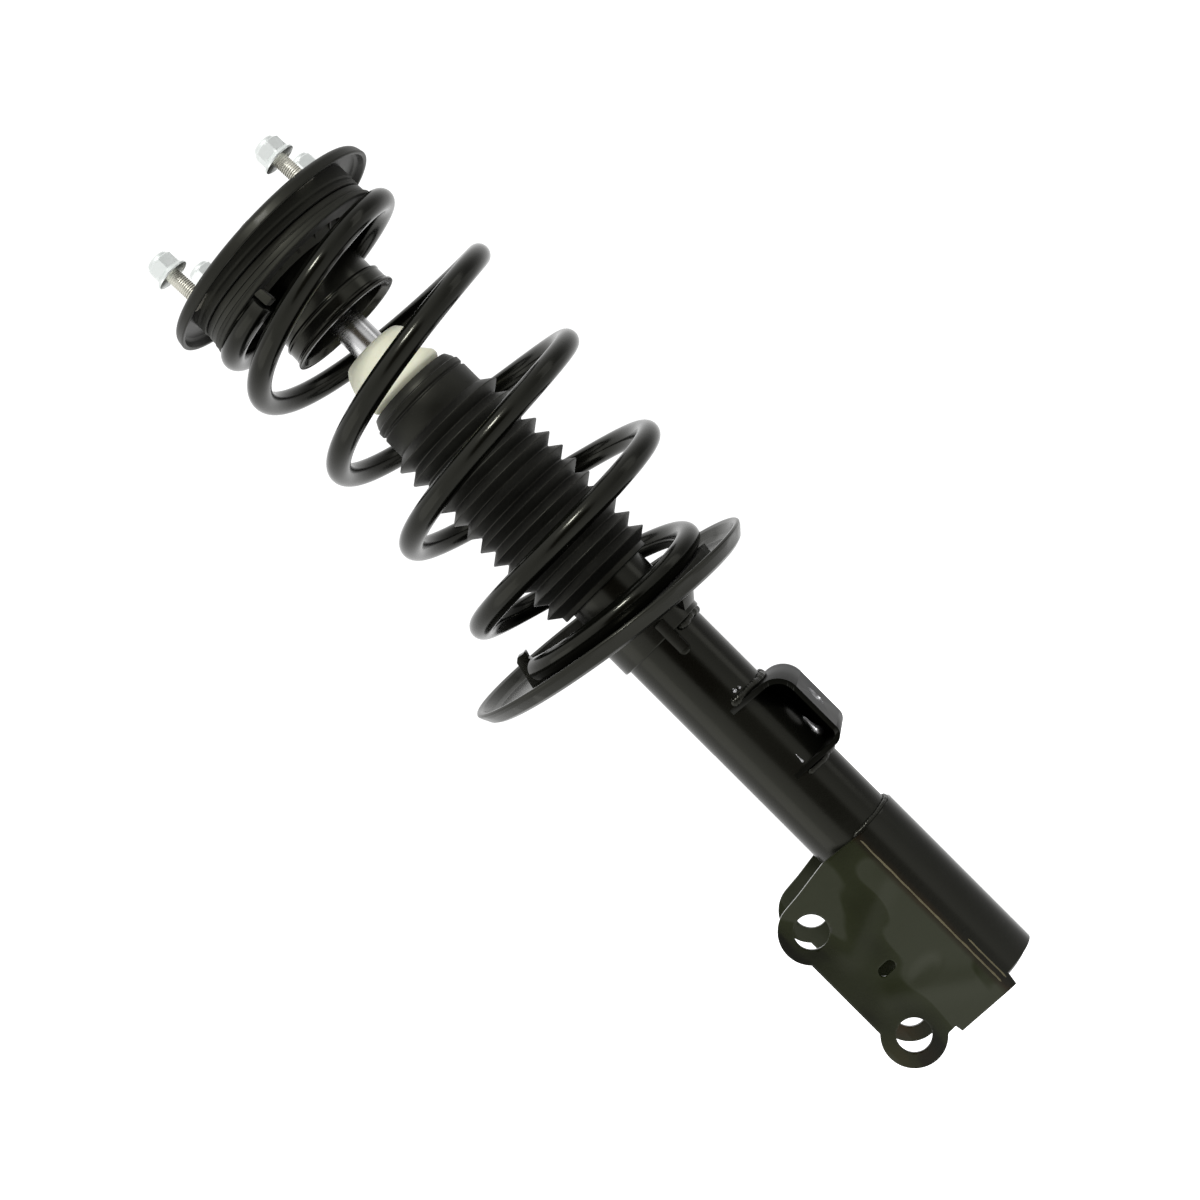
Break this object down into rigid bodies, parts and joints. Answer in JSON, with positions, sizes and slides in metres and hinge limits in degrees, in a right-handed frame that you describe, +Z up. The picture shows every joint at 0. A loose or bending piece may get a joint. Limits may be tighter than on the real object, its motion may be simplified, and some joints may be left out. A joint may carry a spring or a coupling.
{
  "type": "strut assembly",
  "caption": "Complete front suspension strut: top mount with swivel bearing, coil spring on a telescoping damper, bump stop, dust boot and welded knuckle and link brackets.",
  "frame": {"origin": "centre of the top mount's tower face, where the piston rod's axis passes through it", "axes": "+Z up along the piston rod; -X towards the knuckle bolts; +Y square to both, along the knuckle bolts"},
  "size_m": [0.1901, 0.1824, 0.6129],
  "materials": {
    "mount_paint": "satin",
    "rubber_black": "matte",
    "steel": "satin",
    "stud_steel": "satin",
    "zinc": "satin",
    "chrome": "polished",
    "sintered": "matte",
    "ptfe_band": "satin",
    "cage_plastic": "satin",
    "seat_plastic": "satin",
    "cup_plastic": "gloss",
    "spring_paint": "gloss",
    "foam": "matte",
    "boot_rubber": "matte",
    "tube_paint": "gloss",
    "bracket_paint": "gloss",
    "guide_alloy": "satin",
    "bush_bronze": "satin"
  },
  "bodies": {
    "top_mount": {"mount_plate": "mount_paint", "mount_rubber": "rubber_black", "core_sleeve": "steel", "mount_studs": "stud_steel", "stud_nuts": "zinc", "upper_bearing_race": "steel", "piston_rod": "chrome", "rod_washer": "steel", "rod_nut": "steel", "rebound_stop": "steel", "valve_shims": "steel", "piston": "sintered", "piston_band": "ptfe_band", "piston_nut": "steel"},
    "upper_seat": {"bearing_cage": "cage_plastic", "bearing_balls": "steel", "lower_bearing_race": "steel", "upper_spring_seat": "seat_plastic", "upper_insulator": "rubber_black", "jounce_cup": "cup_plastic"},
    "strut_tube": {"coil_spring": "spring_paint", "reserve_tube": "tube_paint", "base_cap": "tube_paint", "gland_cap": "tube_paint", "rod_seal": "rubber_black", "rod_guide": "guide_alloy", "guide_bush": "bush_bronze", "working_cylinder": "steel", "foot_valve": "sintered", "lower_spring_seat": "tube_paint", "lower_spring_pad": "rubber_black", "spring_end_stop": "tube_paint", "seat_collar": "tube_paint", "locating_tab": "tube_paint", "link_bracket": "tube_paint", "knuckle_bracket": "bracket_paint", "tube_welds": "tube_paint"},
    "bump_stop_unit": {"bump_stop": "foam", "dust_boot": "boot_rubber"}
  },
  "joints": [
    {"name": "steering_swivel", "type": "hinge", "parent": "top_mount", "child": "upper_seat", "pos_m": [0, 0, 0], "axis": [0, 0, 1], "continuous": true},
    {"name": "suspension_travel", "type": "slide", "parent": "upper_seat", "child": "strut_tube", "axis": [0, 0, 1], "range_m": [0, 0.11], "stiffness_N_per_m": 25000, "springref_m": -0.06, "deforming": ["coil_spring"]},
    {"name": "bump_stop_slide", "type": "slide", "parent": "strut_tube", "child": "bump_stop_unit", "axis": [0, 0, -1], "range_m": [0, 0.081], "deforming": ["dust_boot"]}
  ],
  "couplings": [
    {"joint": "bump_stop_slide", "follows": "suspension_travel", "ratio": 0.73636}
  ]
}
